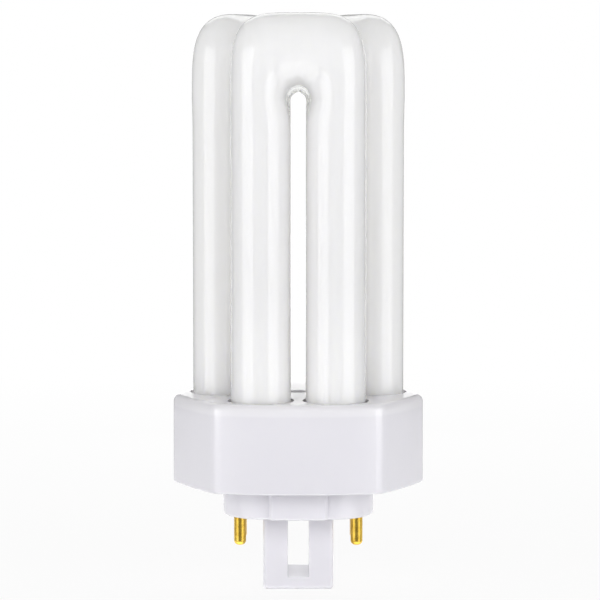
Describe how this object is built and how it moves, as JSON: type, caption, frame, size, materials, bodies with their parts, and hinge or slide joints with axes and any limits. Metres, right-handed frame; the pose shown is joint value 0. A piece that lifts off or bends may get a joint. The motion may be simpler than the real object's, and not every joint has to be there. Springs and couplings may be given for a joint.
{
  "type": "u shaped fluorescent bulb",
  "caption": "Plug-in compact fluorescent lamp: white glass U tubes joined in a ring, standing on a bulged collar above a pinned base with a windowed key post.",
  "frame": {"origin": "centre of the seating face, where the lamp's axis meets the underside of the base shoulder", "axes": "+Z along the lamp's axis towards the glass, -Y out of the flat front of the first U, +X towards the right pair of pins"},
  "size_m": [0.049, 0.0457, 0.1129],
  "materials": {
    "glass": "clear glass over a white powder coat",
    "white_plastic": "satin moulded white",
    "cement": "cured potting cement",
    "pin_metal": "bright drawn brass",
    "lead_metal": "dull nickel-iron wire"
  },
  "bodies": {
    "root": {"discharge_vessel": "glass", "collar": "white_plastic", "base_cap": "white_plastic", "tube_cement": "cement", "contact_pin_1": "pin_metal", "contact_pin_2": "pin_metal", "contact_pin_3": "pin_metal", "contact_pin_4": "pin_metal", "lead_wire_1": "lead_metal", "lead_wire_2": "lead_metal", "lead_wire_3": "lead_metal", "lead_wire_4": "lead_metal"}
  },
  "joints": []
}
